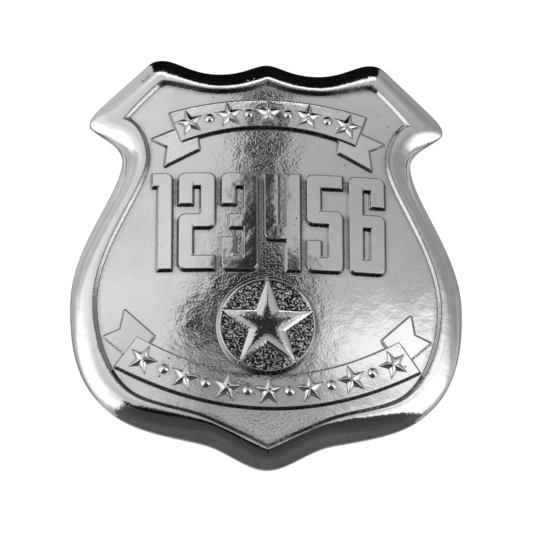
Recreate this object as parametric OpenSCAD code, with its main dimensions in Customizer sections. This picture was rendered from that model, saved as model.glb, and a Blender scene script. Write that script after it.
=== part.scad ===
// Badge in the shape of a shield: a hollow casting that is worn with a pin on its back.
// Millimetres. The face looks along +Z, the badge's top is at +Y and the rim's underside is z = 0.

/* [Casting] */
// height of the domed field at its middle
dome_height = 6.2; // [5.8:0.1:8]
// how slowly the field falls away sideways, larger is flatter
dome_flat_x = 240; // [220:10:400]
// how slowly the field falls away towards top and bottom, larger is flatter
dome_flat_y = 370; // [340:10:600]
// height of the upright outer edge
edge_height = 1.0; // [0.6:0.1:1.6]
// slope of the rim next to the outer edge, degrees
bevel_start = 58; // [40:1:75]
// slope of the rim at its inner edge, degrees
bevel_end = 6; // [0:1:20]
// how far the rim's inner edge stands above the field
step_height = 0.5; // [0.2:0.05:1]
// width of the step from the rim down to the field
step_width = 0.6; // [0.3:0.05:1]

/* [Hollow] */
// height of the hollow's roof at the middle
roof_height = 3.9; // [3.7:0.1:4.2]
// how slowly the roof falls away sideways
roof_flat_x = 290; // [280:10:320]
// how slowly the roof falls away towards top and bottom
roof_flat_y = 450; // [420:10:480]
// how far the hollow reaches out under the rim
hollow_reach = 1.4; // [0.8:0.1:1.6]

/* [Relief] */
// height of the raised work above the field
relief = 0.75; // [0.5:0.05:0.9]
// width of the sloping side around raised work
draft = 0.45; // [0.2:0.05:0.45]
// width of a digit's stroke across its top
stroke = 2.2; // [1.8:0.1:2.3]
// bottom of the row of digits
digits_y = -3.1; // [-3.3:0.1:-2]
// height of the row of digits
digits_high = 16.5; // [12:0.1:17]
// left end of the row of digits
digits_x = -18.8; // [-19:0.1:-18]
// width of the narrow digit 1
one_wide = 3.1; // [2.8:0.1:3.6]
// width of every other digit
digit_wide = 5.75; // [5:0.05:5.8]
// clear width between two digits
digit_gap = 1.15; // [1:0.05:1.2]

/* [Ribbons] */
// height of the upper ribbon above the field
upper_relief = 0.85; // [0.4:0.05:1.2]
// height of the lower ribbon above the field
lower_relief = 0.65; // [0.4:0.05:1.2]
// height of the ribbons' folded tails above the field
tail_relief = 0.45; // [0.2:0.05:0.6]
// height of the small ornaments above the ribbon
trim_height = 0.35; // [0.2:0.05:0.6]
// radius of the small stars on the ribbons
trim_star = 1.8; // [1:0.1:2]
// radius of the small beads on the ribbons
trim_bead = 0.75; // [0.3:0.05:1]
// small stars on the upper ribbon
upper_stars = 5; // [3:2:9]
// small stars on the lower ribbon
lower_stars = 7; // [3:2:11]

/* [Disc] */
// middle of the ring and the large star, sideways
disc_x = -0.25; // [-0.4:0.05:0.4]
// middle of the ring and the large star, up the badge
disc_y = -12.3; // [-12.5:0.1:-12]
// radius of the ring's crest
ring_radius = 7.6; // [6.5:0.1:7.7]
// width of the ring across its top
ring_wide = 0.3; // [0.2:0.05:0.8]
// width of the ring's outer side
ring_side = 0.55; // [0.4:0.05:0.8]
// height of the ring above the field
ring_relief = 0.6; // [0.3:0.05:1]
// radius of the large star's points
star_radius = 7.8; // [6:0.1:7.9]
// size of the star's flat top as a share of its outline
star_top = 0.54; // [0.3:0.01:0.8]
// height of the star's flat top above the field
star_relief = 0.8; // [0.5:0.05:1.2]

/* [Pin] */
// how far the pin lies above the badge's middle
pin_y = 9; // [6:0.5:10]
// length of the pin's strip
strip_long = 26; // [24:1:27]
// width of the pin's strip
strip_wide = 4; // [3:0.5:5]
// thickness of the pin's strip
strip_thick = 0.8; // [0.5:0.1:1]
// height of the strip's seat under the roof
seat_height = 2.7; // [2.6:0.1:2.8]
// half the distance between the two bosses
boss_x = 9; // [7:0.5:10]
// side of a boss
boss_wide = 4.6; // [4.2:0.1:5.4]
// radius of the needle
needle_radius = 0.4; // [0.3:0.05:0.4]
// height of the needle's middle
needle_z = 1.15; // [1.1:0.05:1.2]

/* [Hidden] */
eps = 0.01;
// how deep the raised work starts below the field
bury = 0.35;
// where the dome is highest
dome_y = -1;
// steps across the rim's slope
bevel_rings = 5;
// point that the field's rings close in on, and their sizes
field_middle = [0, 20];
field_rings = [0.83, 0.66, 0.5, 0.34, 0.17];
roof_rings = [1, 0.75, 0.5, 0.25];
// how far the hollow's roof stays inside the rim's inner edge, and how far the cut runs out below
hollow_lip = 0.4;
cut = 1;
// how far the strokes of a digit stand over its top before they are cut to it
over = 0.25;
pad_sides = 20;
// share of a ribbon's length that holds ornaments
trim_span = 0.96;
trim_step = 0.02;
trim_root = 0.15;
trim_star_waist = 0.45;
trim_top = 0.45;
bead_top = 0.5;
star_waist = 0.4;
// how far the disc's plane lies under the field's middle, so that it meets the field under the ring
disc_sink = 0.2;
star_root = 0.3;
// width of the ring's inner side
ring_inside = 0.3;
boss_high = 1.6;
// hinge block, hook and needle of the pin
hinge_long = 2.2;
hinge_wide = 2.4;
hook_long = 1.6;
hook_wide = 2.4;
hook_wall = 0.6;
hook_floor = 0.3;
hook_clear = 0.6;
needle_drop = 0.75;
hook_inset = 1;
needle_inset = 2;
needle_short = 3;

// Right half of the outer outline from the top's middle to the lower tip, cubic pieces between knots.
// columns: x, y, heading in, heading out, handle in, handle out, steps to the next knot
outline = [
    [ 0.0,  34.3,    0,    0,  0.0, 2.0,  6],
    [ 8.2,  32.5,    0,    0,  4.4, 3.5,  6],
    [16.3,  34.6,   16,   16,  1.9, 1.2,  4],
    [19.0,  34.3,  -45,  -45,  0.5, 2.9,  4],
    [27.2,  26.1,  -46,  -46,  2.4, 1.2,  5],
    [28.7,  22.5, -146, -146,  1.2, 2.3,  6],
    [23.6,  17.1,  -90,  -90,  2.3, 5.9, 10],
    [31.7,  -7.8,  -90,  -90, 10.2, 8.3,  8],
    [24.8, -25.9, -142, -142,  6.7, 5.0,  6],
    [10.3, -30.7, -167, -167,  4.6, 4.0,  6],
    [ 0.0, -34.8,  180,  180,  3.3, 0.0,  0]
];

// Right half of the rim's inner edge, the same columns. It is sharp where the outline is rounded,
// so a knot that stands twice has no steps of its own: the outline turns around it.
inner_edge = [
    [ 0.0,  30.4,    0,  -24,  0.0,  2.7,  6],
    [ 8.2,  28.7,    0,    0,  3.6,  3.1,  6],
    [17.4,  30.5,    5,  -45,  2.7,  0.0,  0],
    [17.4,  30.5,    5,  -45,  0.0,  3.0,  4],
    [23.6,  23.6,  -53, -166,  3.0,  0.0,  0],
    [23.6,  23.6,  -53, -166,  0.0,  2.2,  6],
    [19.8,  16.4,  -90,  -90,  3.1,  5.2, 10],
    [28.1,  -7.9,  -90,  -90,  9.4,  6.0,  8],
    [21.7, -23.5, -146, -146,  5.1,  3.8,  6],
    [ 9.2, -27.8, -155, -155,  4.1,  2.9,  6],
    [ 0.0, -32.1, -152,    0,  3.1,  0.0,  0]
];

// Heights of the field and of the hollow's roof over a point.
function dome(p) = dome_height - p.x * p.x / dome_flat_x - pow(p.y - dome_y, 2) / dome_flat_y;
function roof(p) = roof_height - p.x * p.x / roof_flat_x - pow(p.y - dome_y, 2) / roof_flat_y;
function on_dome(p, h) = [p.x, p.y, dome(p) + h];

// Curves and loops.
function polar(r, a) = [r * cos(a), r * sin(a)];
function cubic(a, b, c, d, t) =
    pow(1 - t, 3) * a + 3 * t * pow(1 - t, 2) * b + 3 * t * t * (1 - t) * c + pow(t, 3) * d;
function knot(row) = [row[0], row[1]];
function piece(a, b, t) =
    cubic(knot(a), knot(a) + polar(a[5], a[3]), knot(b) - polar(b[4], b[2]), knot(b), t);
function half(table) = [
    for (i = [0 : len(table) - 2]) for (s = [0 : 1 : table[i][6] - 1])
        piece(table[i], table[i + 1], s / table[i][6]),
    knot(table[len(table) - 1])];
function both_sides(right) = concat(right,
    [for (i = [len(right) - 2 : -1 : 1]) [-right[i].x, right[i].y]]);
function unit(v) = v / norm(v);
function outward(a, b) = let (d = unit(b - a)) [-d.y, d.x];
// a clockwise loop moved outwards by d with mitred corners
function shifted(loop, d) = let (n = len(loop)) [for (i = [0 : n - 1])
    let (u = outward(loop[(i + n - 1) % n], loop[i]), v = outward(loop[i], loop[(i + 1) % n]))
        loop[i] + d * (u + v) / (1 + u * v)];
function every_second(loop) = [for (i = [0 : 2 : len(loop) - 1]) loop[i]];
function steps_before(table, i) = i <= 0 ? 0 : table[i - 1][6] + steps_before(table, i - 1);

// For each station of the outline, the number of its point on the inner edge.
function partner_half() = [
    for (i = [0 : len(outline) - 2]) for (s = [0 : 1 : outline[i][6] - 1])
        steps_before(inner_edge, i) + (inner_edge[i][6] == 0 ? 0 : s),
    steps_before(inner_edge, len(inner_edge) - 1)];

outer = both_sides(half(outline));
inner = both_sides(half(inner_edge));
n_out = len(outer);
n_in = len(inner);
partner = let (k = partner_half(), m = len(k)) concat(k, [for (i = [m - 2 : -1 : 1]) n_in - k[i]]);
foot = shifted(inner, -step_width);

// Rim between the outline (t = 0) and its inner edge (t = 1), a rounded slope.
function bevel_angle(t) = bevel_start + (bevel_end - bevel_start) * t;
function bevel_in(t) = (sin(bevel_start) - sin(bevel_angle(t))) / (sin(bevel_start) - sin(bevel_end));
function bevel_up(t) = (cos(bevel_angle(t)) - cos(bevel_start)) / (cos(bevel_end) - cos(bevel_start));
function rim_point(i, t) = let (a = outer[i], b = inner[partner[i]],
    p = a + (b - a) * bevel_in(t), top = dome(b) + step_height)
        [p.x, p.y, edge_height + (top - edge_height) * bevel_up(t)];
function towards_middle(p, s) = field_middle + (p - field_middle) * s;

// Faces between two rings of n points that start at a and b; the second ring is the upper one.
function ring_faces(a, b, n) = [for (i = [0 : n - 1]) let (j = (i + 1) % n)
    each [[a + i, b + i, a + j], [a + j, b + i, b + j]]];

// The casting before the hollow and the raised work.
module blank() {
    crest_at = n_out * (bevel_rings + 1);
    foot_at = crest_at + n_in;
    middle_at = foot_at + n_in * (len(field_rings) + 1);
    points = concat(
        [for (p = outer) [p.x, p.y, 0]],
        [for (r = [0 : bevel_rings - 1]) for (i = [0 : n_out - 1]) rim_point(i, r / bevel_rings)],
        [for (p = inner) on_dome(p, step_height)],
        [for (p = foot) on_dome(p, 0)],
        [for (s = field_rings) for (p = foot) on_dome(towards_middle(p, s), 0)],
        [on_dome(field_middle, 0)]);
    last = n_out * bevel_rings;
    faces = concat(
        [[for (i = [0 : n_out - 1]) i]],
        [for (r = [0 : bevel_rings - 1]) each ring_faces(r * n_out, (r + 1) * n_out, n_out)],
        [for (i = [0 : n_out - 1]) let (j = (i + 1) % n_out)
            [last + i, crest_at + partner[i], last + j]],
        [for (i = [0 : n_out - 1]) let (j = (i + 1) % n_out) if (partner[i] != partner[j])
            [last + j, crest_at + partner[i], crest_at + partner[j]]],
        [for (r = [0 : len(field_rings)])
            each ring_faces(crest_at + r * n_in, crest_at + (r + 1) * n_in, n_in)],
        [for (i = [0 : n_in - 1]) [middle_at - n_in + i, middle_at, middle_at - n_in + (i + 1) % n_in]]);
    polyhedron(points, [for (f = faces) [for (i = [len(f) - 1 : -1 : 0]) f[i]]]);
}

// The space under the casting, open below.
module hollow() {
    loop = every_second(inner);
    n = len(loop);
    mouth = shifted(loop, hollow_reach);
    lip = shifted(loop, -hollow_lip);
    top_at = n * (len(roof_rings) + 2);
    points = concat(
        [for (p = mouth) [p.x, p.y, -cut]],
        [for (p = mouth) [p.x, p.y, 0]],
        [for (s = roof_rings) for (p = lip) let (q = towards_middle(p, s)) [q.x, q.y, roof(q)]],
        [[field_middle.x, field_middle.y, roof(field_middle)]]);
    faces = concat(
        [[for (i = [0 : n - 1]) i]],
        [for (r = [0 : len(roof_rings)]) each ring_faces(r * n, (r + 1) * n, n)],
        [for (i = [0 : n - 1]) [top_at - n + i, top_at, top_at - n + (i + 1) % n]]);
    polyhedron(points, [for (f = faces) [for (i = [len(f) - 1 : -1 : 0]) f[i]]]);
}

// Raised work with sloping sides and a top that follows the field.
// The loop runs clockwise around the top; tris are its triangles, clockwise too.
module raised(loop, tris, h) {
    n = len(loop);
    root = shifted(loop, draft * (h + bury) / relief);
    points = concat([for (p = root) on_dome(p, -bury)], [for (p = loop) on_dome(p, h)]);
    polyhedron(points, concat(
        [for (t = tris) [t[0] + n, t[1] + n, t[2] + n]],
        [for (t = tris) [t[2], t[1], t[0]]],
        [for (f = ring_faces(0, n, n)) [f[2], f[1], f[0]]]));
}

// One end of a stroke: a round or square pad on the field, higher than the digit's top.
module pad(p, wide, square) {
    d = 2 * draft / relief;
    shape = square ? sqrt(2) : 1;
    translate(on_dome(p, -bury)) rotate(square ? 45 : 0)
        cylinder(h = relief + bury + over, d1 = (wide + d * (relief + bury)) * shape,
            d2 = (wide - d * over) * shape, $fn = square ? 4 : pad_sides);
}

// A line of strokes with rounded bends and square ends.
module strokes(line) {
    for (i = [0 : len(line) - 2]) hull() {
        pad(line[i], stroke, i == 0);
        pad(line[i + 1], stroke, i + 2 == len(line));
    }
}

// Lines of each digit in its own cell, 0 to 1 across and up.
digit_lines = [
    [[[1, 0], [1, 0.5], [1, 1], [0, 1]]],
    [[[0, 0.78], [0, 1], [1, 1], [1, 0.5], [0, 0.5], [0, 0], [1, 0]]],
    [[[0, 0.78], [0, 1], [1, 1], [1, 0.5], [1, 0], [0, 0], [0, 0.22]], [[0.35, 0.5], [1, 0.5]]],
    [[[0, 1], [0, 0.36], [1, 0.36]], [[1, 0], [1, 0.5], [1, 1]]],
    [[[1, 1], [0, 1], [0, 0.56], [1, 0.56], [1, 0], [0, 0], [0, 0.2]]],
    [[[1, 0.8], [1, 1], [0, 1], [0, 0.5], [0, 0], [1, 0], [1, 0.54], [0, 0.54]]]
];

digit_pitch = digit_wide + digit_gap;
function cell_x(i) = digits_x + (i == 0 ? 0 : one_wide + digit_gap + (i - 1) * digit_pitch);

// Slab whose top is the field raised by h, one column for each digit.
module slab(xs, ys, h) {
    nx = len(xs);
    ny = len(ys);
    top = [for (y = ys) for (x = xs) on_dome([x, y], h)];
    cells = [for (j = [0 : ny - 2]) for (i = [0 : nx - 2]) j * nx + i];
    edge = concat([for (i = [0 : nx - 2]) i], [for (j = [0 : ny - 2]) j * nx + nx - 1],
        [for (i = [nx - 1 : -1 : 1]) (ny - 1) * nx + i], [for (j = [ny - 1 : -1 : 1]) j * nx]);
    m = nx * ny;
    polyhedron(concat(top, [for (p = top) [p.x, p.y, roof_height]]), concat(
        [for (c = cells) each [[c, c + nx, c + 1], [c + 1, c + nx, c + nx + 1]]],
        [for (c = cells) each [[c + m, c + 1 + m, c + nx + m], [c + 1 + m, c + nx + 1 + m, c + nx + m]]],
        [for (k = [0 : len(edge) - 1]) let (a = edge[k], b = edge[(k + 1) % len(edge)])
            each [[a, b, a + m], [b, b + m, a + m]]]));
}

module digits() {
    last = len(digit_lines) - 1;
    xs = concat([for (i = [0 : last]) cell_x(i) - digit_gap / 2], [cell_x(last + 1) - digit_gap / 2]);
    ys = [digits_y - 1, digits_y + digits_high / 2, digits_y + digits_high + 1];
    intersection() {
        slab(xs, ys, relief);
        for (i = [0 : last]) {
            wide = i == 0 ? one_wide : digit_wide;
            for (line = digit_lines[i])
                strokes([for (p = line) [cell_x(i) + stroke / 2 + p.x * (wide - stroke),
                    digits_y + stroke / 2 + p.y * (digits_high - stroke)]]);
        }
    }
}

// A ribbon's main band, its edges bent like bows.
// upper and lower: [y at the middle, x at the end, y at the end]
function bow(edge, s) = [s * edge[1], edge[0] + (edge[2] - edge[0]) * s * s];
module band(upper, lower, steps, h) {
    loop = concat([for (i = [0 : steps]) bow(upper, 2 * i / steps - 1)],
        [for (i = [steps : -1 : 0]) bow(lower, 2 * i / steps - 1)]);
    last = 2 * steps + 1;
    raised(loop, [for (i = [0 : steps - 1])
        each [[i, i + 1, last - i], [i + 1, last - i - 1, last - i]]], h);
}

// A small star or bead standing on a ribbon, turned to follow it.
function star_points(r, waist) = [for (i = [0 : 9]) polar(i % 2 == 0 ? r : r * waist, 90 - 36 * i)];
module trim(p, turn, star, h) {
    high = trim_height + trim_root;
    translate(on_dome(p, h - trim_root))
        rotate([atan(-2 * (p.y - dome_y) / dome_flat_y), atan(2 * p.x / dome_flat_x), turn]) {
        if (star) linear_extrude(high, scale = trim_top) polygon(star_points(trim_star, trim_star_waist));
        else cylinder(h = high, r1 = trim_bead, r2 = trim_bead * bead_top, $fn = 10);
    }
}

// Ornaments along the middle line of a band.
module trims(upper, lower, stars, h) {
    count = 2 * stars - 1;
    for (i = [0 : count - 1]) {
        s = ((i + 0.5) / count * 2 - 1) * trim_span;
        p = (bow(upper, s) + bow(lower, s)) / 2;
        q = (bow(upper, s + trim_step) + bow(lower, s + trim_step)) / 2;
        trim(p, atan2(q.y - p.y, q.x - p.x), i % 2 == 0, h);
    }
}

// Folded ends of the ribbons, the first point of each is the notch.
upper_tail = [[16.4, 18.5], [16.8, 14.9], [11.3, 17.8], [11.6, 20.4], [14.2, 21.8], [18.9, 19.8]];
lower_tail = [[23.6, -12.8], [26.2, -13.8], [22.8, -16.8], [19.4, -15.6], [18.3, -14.1], [23.0, -9.7]];
upper_band = [[26.7, 16.0, 24.4], [21.9, 14.2, 19.1]];
lower_band = [[-20.6, 21.0, -14.2], [-25.7, 24.4, -18.8]];

module tail(loop) {
    for (side = [1, -1])
        raised(side == 1 ? loop : [for (i = [0 : len(loop) - 1]) let (p = loop[(len(loop) - i) % len(loop)])
            [-p.x, p.y]], [for (i = [1 : len(loop) - 2]) [0, i, i + 1]], tail_relief);
}

module ribbons() {
    band(upper_band[0], upper_band[1], 14, upper_relief);
    band(lower_band[0], lower_band[1], 18, lower_relief);
    tail(upper_tail);
    tail(lower_tail);
    trims(upper_band[0], upper_band[1], upper_stars, upper_relief);
    trims(lower_band[0], lower_band[1], lower_stars, lower_relief);
}

// Ring and large star, tilted with the field under them.
module disc() {
    p = [disc_x, disc_y];
    slope = atan(-2 * (disc_y - dome_y) / dome_flat_y);
    half_top = ring_wide / 2;
    deeper = (ring_relief + bury) / ring_relief;
    star_high = star_relief + disc_sink;
    widening = 1 + (1 - star_top) * star_root / star_high;
    translate(on_dome(p, -disc_sink)) rotate([slope, 0, 0]) {
        rotate_extrude($fn = 72) translate([ring_radius, 0]) polygon([
            [-half_top - ring_inside * deeper, -bury], [half_top + ring_side * deeper, -bury],
            [half_top, ring_relief], [-half_top, ring_relief]]);
        translate([0, 0, -star_root])
            linear_extrude(star_high + star_root, scale = star_top / widening)
                polygon(star_points(star_radius * widening, star_waist));
    }
}

module bosses() {
    for (side = [-1, 1])
        translate([side * boss_x - boss_wide / 2, pin_y - boss_wide / 2, seat_height])
            cube([boss_wide, boss_wide, boss_high]);
}

module shield() color([0.78, 0.78, 0.78]) {
    difference() {
        blank();
        hollow();
    }
    bosses();
    digits();
    ribbons();
    disc();
}

// Pin: strip, hinge block, needle and hook as one piece, its strip's back on the two bosses.
module back_pin() color([0.6, 0.6, 0.62]) {
    under = seat_height - strip_thick;
    end = strip_long / 2;
    low = needle_z - needle_drop;
    side = pin_y + needle_radius + hook_clear;
    translate([-end, pin_y - strip_wide / 2, under]) cube([strip_long, strip_wide, strip_thick]);
    translate([end - hinge_long, pin_y - hinge_wide / 2, low])
        cube([hinge_long, hinge_wide, under - low + eps]);
    translate([needle_inset - end, pin_y, needle_z]) rotate([0, 90, 0])
        cylinder(h = strip_long - needle_short, r = needle_radius, $fn = 24);
    translate([hook_inset - end, side, low]) cube([hook_long, hook_wall, under - low + eps]);
    translate([hook_inset - end, side + hook_wall - hook_wide, low])
        cube([hook_long, hook_wide, hook_floor]);
}

shield();
back_pin();
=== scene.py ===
import math

import bpy
import numpy as np
from mathutils import Matrix, Vector
from mathutils.geometry import delaunay_2d_cdt


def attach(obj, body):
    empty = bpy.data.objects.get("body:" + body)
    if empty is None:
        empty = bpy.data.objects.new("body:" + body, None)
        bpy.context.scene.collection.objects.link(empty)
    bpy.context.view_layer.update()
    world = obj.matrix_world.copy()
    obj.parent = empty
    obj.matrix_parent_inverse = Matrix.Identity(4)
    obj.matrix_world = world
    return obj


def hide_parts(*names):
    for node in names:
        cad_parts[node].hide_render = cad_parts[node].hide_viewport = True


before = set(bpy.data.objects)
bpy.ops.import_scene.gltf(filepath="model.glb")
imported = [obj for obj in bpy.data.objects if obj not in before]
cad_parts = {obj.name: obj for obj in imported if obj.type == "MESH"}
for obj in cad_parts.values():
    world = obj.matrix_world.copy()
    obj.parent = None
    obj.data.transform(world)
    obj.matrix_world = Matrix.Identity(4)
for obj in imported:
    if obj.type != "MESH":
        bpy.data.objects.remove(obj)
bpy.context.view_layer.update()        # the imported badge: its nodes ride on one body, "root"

# Shapes are worked out in millimetres in the badge's own frame and written to the meshes in metres.
# The face looks along +Z, the top is at +Y and the rim's underside is z = 0.
METRE = 0.001

# ---- sizes, as in the solids

DOME_TOP, DOME_Y = 6.2, -1.0
DOME_FLAT = np.array([240.0, 370.0])
ROOF_TOP = 3.9
ROOF_FLAT = np.array([290.0, 450.0])
EDGE_HIGH = 1.0
RIM_STEEP, RIM_FLAT = 58.0, 6.0
STEP_HIGH, STEP_WIDE = 0.5, 0.6
HOLLOW_REACH, HOLLOW_LIP = 1.4, 0.4

# Right half of the outer outline from the top's middle to the lower tip:
# x, y, heading in, heading out, handle in, handle out, steps to the next knot.
OUTLINE = np.array([
    [0.0, 34.3, 0, 0, 0.0, 2.0, 6],
    [8.2, 32.5, 0, 0, 4.4, 3.5, 6],
    [15.9, 34.5, 14, 14, 1.9, 1.6, 4],
    [19.5, 33.8, -45, -45, 1.1, 2.4, 4],
    [27.0, 26.3, -46, -46, 2.2, 2.1, 5],
    [28.5, 22.25, -144, -144, 1.6, 2.5, 6],
    [23.6, 17.1, -90, -90, 2.3, 5.9, 10],
    [31.7, -7.8, -90, -90, 10.2, 8.3, 8],
    [24.8, -25.9, -142, -142, 6.7, 5.0, 6],
    [10.3, -30.7, -167, -167, 4.6, 4.0, 6],
    [0.0, -34.8, 180, 180, 3.3, 0.0, 0],
])
# Right half of the rim's inner edge. A knot that stands twice is a sharp corner, and the outline turns round it.
INNER_EDGE = np.array([
    [0.0, 30.4, 24, -24, 0.0, 2.7],
    [8.2, 28.7, 0, 0, 3.6, 3.1],
    [17.0, 30.45, 5, 5, 2.6, 0.3],
    [17.75, 30.15, -45, -45, 0.3, 2.8],
    [23.6, 23.6, -53, -166, 3.0, 0.0],
    [23.6, 23.6, -53, -166, 0.0, 2.2],
    [19.8, 16.4, -90, -90, 3.1, 5.2],
    [28.1, -7.9, -90, -90, 9.4, 6.0],
    [21.7, -23.5, -146, -146, 5.1, 3.8],
    [9.2, -27.8, -155, -155, 4.1, 2.9],
    [0.0, -32.1, -152, -208, 3.1, 0.0],
])
FINER = 4

RELIEF, DRAFT, STROKE = 0.75, 0.28, 2.2
DIGITS_X, DIGITS_Y, DIGITS_HIGH = -18.8, -3.1, 16.5
ONE_WIDE, DIGIT_WIDE, DIGIT_GAP = 3.1, 5.75, 1.15
# Centre lines of the digits 1 to 6 in their own cells, 0 to 1 across and up.
DIGIT_LINES = [
    [[(1, 0), (1, 0.5), (1, 1), (0, 1)]],
    [[(0, 0.78), (0, 1), (1, 1), (1, 0.5), (0, 0.5), (0, 0), (1, 0)]],
    [[(0, 0.78), (0, 1), (1, 1), (1, 0.5), (1, 0), (0, 0), (0, 0.22)], [(0.35, 0.5), (1, 0.5)]],
    [[(0, 1), (0, 0.36), (1, 0.36)], [(1, 0), (1, 0.5), (1, 1)]],
    [[(1, 1), (0, 1), (0, 0.56), (1, 0.56), (1, 0), (0, 0), (0, 0.2)]],
    [[(1, 0.8), (1, 1), (0, 1), (0, 0.5), (0, 0), (1, 0), (1, 0.54), (0, 0.54)]],
]

# Bands: height above the field at the upper and lower edge, then for both edges y at the middle, x at the end, y at
# the end.
UPPER_BAND = ((0.58, 0.85), (26.7, 16.0, 24.4), (21.9, 14.2, 19.1))
LOWER_BAND = ((0.67, 0.70), (-20.6, 21.0, -14.2), (-25.7, 24.4, -18.8))
UPPER_TAIL = [(16.4, 18.5), (16.8, 14.9), (11.3, 17.8), (11.6, 20.4), (14.2, 21.8), (18.9, 19.8)]
LOWER_TAIL = [(23.6, -12.8), (26.2, -13.8), (22.8, -16.8), (19.4, -15.6), (18.3, -14.1), (23.0, -9.7)]
# Tails lean too: height along the high edge, fall per mm away from it, and that edge's first corner.
TAIL_HIGH, TAIL_FALL, UPPER_HIGH_EDGE, LOWER_HIGH_EDGE = 0.65, 0.09, 1, 4
TRIM_HIGH, TRIM_STAR, TRIM_WAIST, TRIM_BEAD = 0.35, 1.8, 0.45, 0.75
UPPER_STARS, LOWER_STARS = 5, 7

DISC = np.array([-0.25, -12.3])
RING_RADIUS, RING_HALF, RING_OUT, RING_IN, RING_HIGH, RING_SOFT = 7.6, 0.07, 0.5, 0.25, 0.38, 0.07
STAR_RADIUS, STAR_WAIST, STAR_WALL, STAR_PILLOW = 7.8, 0.4, 0.4, 0.27
DISC_LEAN = 0.5

PIN_Y, SEAT, BOSS_X, BOSS_HALF = 9.0, 2.7, 9.0, 2.3
STRIP_LONG, STRIP_WIDE, STRIP_LOW = 26.0, 4.0, 1.9
HINGE_X, NEEDLE_Z, NEEDLE_RADIUS, NEEDLE_TIP = 12.0, 1.15, 0.34, -11.0

# How softly the plated casting turns: at the top and the foot of raised work, at the rim's crest and at the foot of
# its step.
SOFT, CORNER_SOFT, CREST_SOFT, FOOT_SOFT = 0.11, 0.05, 0.1, 0.12
# Radii of the outline's lower and upper edge and of the hollow's mouth.
UNDER_ROUND, EDGE_ROUND, MOUTH_ROUND = 0.18, 0.12, 0.15
# The casting's rings: how many belong to the back, how many from the rim's slope inwards, and how many of these
# follow the raised work.
BACK_RINGS, TOP_RINGS, FIELD_RINGS = 14, 35, 9
# How strongly painted shade darkens the sides of raised work that face down, right, left and up.
DIGIT_SIDES, RIBBON_SIDES, RING_SIDES = (1.0, 0.8, 0.45, 0.25), (1.0, 0.45, 0.45, 0.5), (1.0, 0.5, 0.1, 0.1)
# How grainy the plating is, from 0 to 1, and where the field is grainier: how much, middle x, y, width x, y.
RIM_GRAIN, FIELD_GRAIN, GROUND_GRAIN, STAR_GRAIN, RIBBON_GRAIN, DIGIT_GRAIN = 0.04, 0.05, 1.0, 0.12, 0.08, 0.02
GRAIN_SPOTS = [(0.13, 0.0, 0.0, 7.0, np.inf), (0.06, *DISC, 11.0, 11.0), (0.25, 0.0, -28.5, 9.0, 2.5)]

# The net's cell, the distance below which its points merge, and how far the floor lies under the rim.
NET_PITCH = 0.5
NET_MERGE = 0.02
FLOOR_Z = -0.01


# ---- curves and loops

def polar(radius, degrees):
    """Points at radius and angle: (r cos a, r sin a)."""
    a = np.radians(degrees)
    return np.stack([radius * np.cos(a), radius * np.sin(a)], -1)


def length(v):
    """Lengths of vectors, the roots of their parts' summed squares."""
    return np.linalg.norm(v, axis=-1)


def unit(v):
    """Vectors divided by their own length."""
    return v / np.maximum(length(v)[..., None], 1e-12)


def held(x):
    """x kept between 0 and 1."""
    return np.clip(x, 0, 1)


def bell(x, wide):
    """exp(-(x / wide)^2): 1 at 0, and almost 0 from twice the width on."""
    return np.exp(-(x / wide) ** 2)


def single(loop):
    """Which points of a closed loop don't stand on the one before."""
    return length(loop - np.roll(loop, 1, axis=0)) > 1e-5


def half_curve(knots, steps):
    """Cubic pieces between knots: (1-t)^3 a + 3t(1-t)^2 b + 3t^2(1-t) c + t^3 d, where b and c lie a handle's
    length along the knots' headings. Gives the points and the headings, which turn evenly at a doubled knot."""
    points, headings = [], []
    for a, b, n in zip(knots[:-1], knots[1:], steps):
        t = (np.arange(n) / n)[:, None]
        p, s = a[:2], b[:2]
        q, r = p + polar(a[5], a[3]), s - polar(b[4], b[2])
        points.append((1 - t) ** 3 * p + 3 * t * (1 - t) ** 2 * q + 3 * t * t * (1 - t) * r + t ** 3 * s)
        slope = (1 - t) ** 2 * (q - p) + 2 * t * (1 - t) * (r - q) + t * t * (s - r)
        doubled = np.allclose(p, s)
        turn = a[2] + (b[3] - a[2]) * t[:, 0]
        headings.append(turn if doubled else np.degrees(np.arctan2(slope[:, 1], slope[:, 0])))
    return np.vstack(points + [knots[-1:, :2]]), np.concatenate(headings + [knots[-1:, 2]])


def both_sides(half):
    """The right half followed by its mirror image, as one clockwise loop."""
    return np.vstack([half, half[-2:0:-1] * [-1, 1]])


STEPS = (OUTLINE[:-1, 6] * FINER).astype(int)
OUTER = both_sides(half_curve(OUTLINE, STEPS)[0])
INNER_HALF, HEADING = half_curve(INNER_EDGE, STEPS)
NORMAL_HALF = polar(1.0, HEADING + 90)
INNER = both_sides(INNER_HALF)
# Smooth spans of the inner edge between its sharp corners: first station, last station, half the turn at each end.
KNOT_AT = np.concatenate([[0], np.cumsum(STEPS)])
SPANS = [(0, KNOT_AT[2], 24.0, 25.0), (KNOT_AT[3], KNOT_AT[4], 25.0, 56.5), (KNOT_AT[5], KNOT_AT[10], 56.5, 28.0)]


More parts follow.
